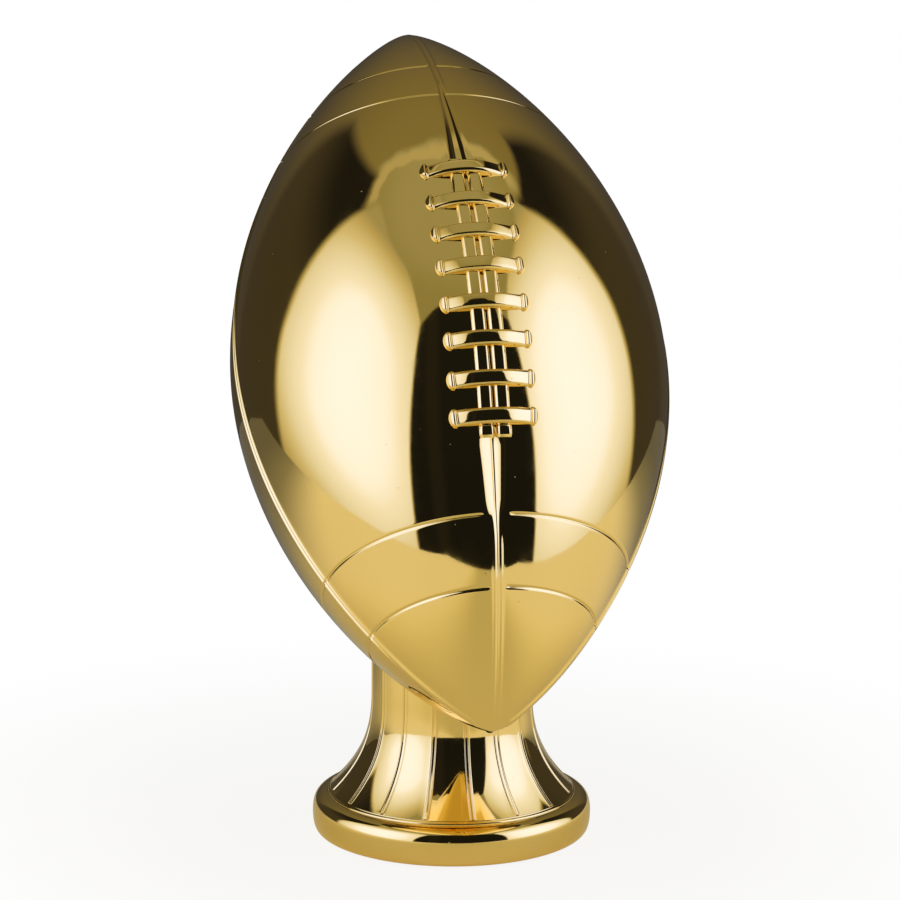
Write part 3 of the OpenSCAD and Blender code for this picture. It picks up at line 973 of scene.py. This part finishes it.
def build_studio():
    """A dim room with a large softbox on each side, and plain white where the camera sees past the object."""
    world = bpy.data.worlds.new("studio")
    bpy.context.scene.world = world
    world.use_nodes = True
    tree = world.node_tree
    tree.nodes.clear()
    n = Nodes(tree)
    direction = tree.nodes.new("ShaderNodeTexCoord").outputs["Generated"]
    x, y, z = n.split(direction)
    to_degrees = 180 / math.pi
    azimuth = n.math("MULTIPLY", n.math("ARCTAN2", x, n.math("MULTIPLY", y, -1.0)), to_degrees)
    height = n.math("MULTIPLY", n.math("ARCSINE", z), to_degrees)
    ragged = n.math("MULTIPLY", n.math("SUBTRACT", noise(tree.nodes, n.links, 5, 3, direction), 0.5), 9.0)
    level = room_level(n, azimuth, height, ragged)
    for box in SOFTBOXES:
        mask, box_level = softbox(n, azimuth, height, box)
        level = n.mix(mask, level, box_level)

    ramp = tree.nodes.new("ShaderNodeValToRGB")
    elements = ramp.color_ramp.elements
    elements[0].position = 0.0
    elements[1].position = 1.0
    for position, _ in RADIANCE[1:-1]:
        elements.new(position / FULL_LEVEL)
    for element, (_, colour) in zip(elements, RADIANCE):
        element.color = (*[c / PEAK_RADIANCE for c in colour], 1)
    n.links.new(n.math("DIVIDE", level, FULL_LEVEL), ramp.inputs["Fac"])

    inside = tree.nodes.new("ShaderNodeBackground")
    inside.inputs["Strength"].default_value = PEAK_RADIANCE
    n.links.new(ramp.outputs["Color"], inside.inputs["Color"])
    outside = tree.nodes.new("ShaderNodeBackground")
    outside.inputs["Color"].default_value = (1, 1, 1, 1)
    outside.inputs["Strength"].default_value = 1.0
    path = tree.nodes.new("ShaderNodeLightPath")
    mix = tree.nodes.new("ShaderNodeMixShader")
    n.links.new(path.outputs["Is Camera Ray"], mix.inputs["Fac"])
    n.links.new(inside.outputs[0], mix.inputs[1])
    n.links.new(outside.outputs[0], mix.inputs[2])
    output = tree.nodes.new("ShaderNodeOutputWorld")
    n.links.new(mix.outputs[0], output.inputs["Surface"])


# ---- camera ----

CAMERA_AZIMUTH = math.radians(-10.17)
CAMERA_ELEVATION = math.radians(14.05)
CAMERA_ROLL = math.radians(-0.27)
CAMERA_DISTANCE = 2416.7
CAMERA_LENS = 257.2
AIM_HEIGHT = 148.7
AIM_RIGHT = -1.2


def build_camera():
    a, e = CAMERA_AZIMUTH, CAMERA_ELEVATION
    back = np.array([math.sin(a) * math.cos(e), -math.cos(a) * math.cos(e), math.sin(e)])
    right = np.array([math.cos(a), math.sin(a), 0])
    up = np.cross(back, right)
    aim = right * AIM_RIGHT + np.array([0, 0, AIM_HEIGHT])
    place = aim + back * CAMERA_DISTANCE
    c, s = math.cos(CAMERA_ROLL), math.sin(CAMERA_ROLL)
    turned_right = c * right - s * up
    turned_up = s * right + c * up
    camera = bpy.data.cameras.new("camera")
    camera.sensor_width = 36
    camera.lens = CAMERA_LENS
    camera.clip_start = 0.05
    camera.clip_end = 20
    obj = bpy.data.objects.new("camera", camera)
    obj.matrix_world = Matrix((
        (turned_right[0], turned_up[0], back[0], place[0] * MM),
        (turned_right[1], turned_up[1], back[1], place[1] * MM),
        (turned_right[2], turned_up[2], back[2], place[2] * MM),
        (0, 0, 0, 1),
    ))
    bpy.context.scene.collection.objects.link(obj)
    bpy.context.scene.camera = obj


bpy.context.scene.view_settings.view_transform = "Standard"
build_shells()
build_lacing()
build_pedestal()
build_foot()
dress_cad_nodes()
build_table()
build_studio()
build_camera()
